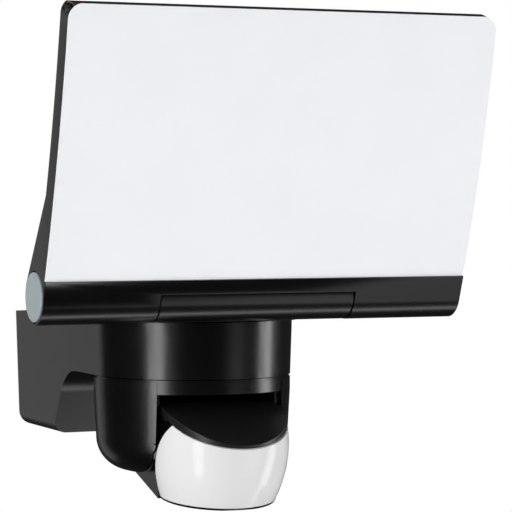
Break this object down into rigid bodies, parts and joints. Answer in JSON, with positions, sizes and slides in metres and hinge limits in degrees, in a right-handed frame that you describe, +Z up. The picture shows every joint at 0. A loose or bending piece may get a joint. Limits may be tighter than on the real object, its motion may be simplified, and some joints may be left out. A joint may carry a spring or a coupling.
{
  "type": "motion sensor floodlight",
  "caption": "Wall-mounted floodlight with a tilting flat lamp panel on a hinged neck and a swivelling, tilting motion sensor head below.",
  "frame": {"origin": "centre of the wall box's back face, midway between the two fixing slots, on the wall's plane", "axes": "+Y into the wall, -Y out towards the lamp panel and sensor, +Z up, +X to the right seen from the front"},
  "size_m": [0.18, 0.21, 0.199],
  "materials": {
    "housing_plastic": "satin",
    "rubber_black": "matte",
    "terminal_plastic": "matte",
    "terminal_brass": "satin",
    "steel_plated": "satin",
    "board_green": "matte",
    "component_plastic": "matte",
    "diffuser_opal": "satin",
    "spreader_aluminium": "satin",
    "board_white": "matte",
    "led_amber": "matte",
    "cap_silver": "satin",
    "lens_milky": "satin",
    "sensor_clear": "gloss",
    "dial_grey": "matte"
  },
  "bodies": {
    "base": {"wall_plate": "housing_plastic", "wall_seal": "rubber_black", "cable_grommet": "rubber_black", "terminal_block": "terminal_plastic", "terminal_screws": "terminal_brass", "housing": "housing_plastic", "housing_screws": "steel_plated", "driver_board": "board_green", "driver_parts": "component_plastic", "driver_screws": "steel_plated"},
    "neck": {"neck": "housing_plastic", "neck_cover": "housing_plastic", "neck_screws": "steel_plated", "neck_clip": "steel_plated", "hinge_pins": "steel_plated", "hinge_clips": "steel_plated"},
    "panel": {"panel_shell": "housing_plastic", "diffuser": "diffuser_opal", "diffuser_seal": "rubber_black", "heat_spreader": "spreader_aluminium", "led_boards": "board_white", "leds": "led_amber", "panel_screws": "steel_plated", "end_cap_left": "cap_silver", "end_cap_right": "cap_silver"},
    "yoke": {"yoke": "housing_plastic", "ear_cover_left": "housing_plastic", "ear_cover_right": "housing_plastic", "yoke_back": "housing_plastic", "yoke_clip": "steel_plated", "tilt_pins": "steel_plated"},
    "head": {"head_shell": "housing_plastic", "head_cap": "housing_plastic", "head_base": "housing_plastic", "fresnel_lens": "lens_milky", "sensor_board": "board_green", "pir_sensor": "steel_plated", "light_sensor": "sensor_clear", "head_screws": "steel_plated"},
    "time_dial": {"time_dial": "dial_grey"},
    "light_dial": {"light_dial": "dial_grey"}
  },
  "joints": [
    {"name": "panel_swivel", "type": "hinge", "parent": "base", "child": "neck", "pos_m": [0, -0.1085, 0.0265], "axis": [0, 0, 1], "range_deg": [-40, 40]},
    {"name": "panel_tilt", "type": "hinge", "parent": "neck", "child": "panel", "pos_m": [0, -0.1685, 0.039], "axis": [1, 0, 0], "range_deg": [-60, 70]},
    {"name": "sensor_pan", "type": "hinge", "parent": "base", "child": "yoke", "pos_m": [0, -0.1085, 0], "axis": [0, 0, 1], "range_deg": [-60, 60]},
    {"name": "sensor_tilt", "type": "hinge", "parent": "yoke", "child": "head", "pos_m": [0, -0.1085, -0.0213], "axis": [1, 0, 0], "range_deg": [-10, 40]},
    {"name": "time_setting", "type": "hinge", "parent": "head", "child": "time_dial", "pos_m": [-0.011, -0.12314, -0.04269], "axis": [0, -0.3007, 0.9537], "range_deg": [-135, 135]},
    {"name": "light_setting", "type": "hinge", "parent": "head", "child": "light_dial", "pos_m": [0.011, -0.12314, -0.04269], "axis": [0, -0.3007, 0.9537], "range_deg": [-135, 135]}
  ]
}
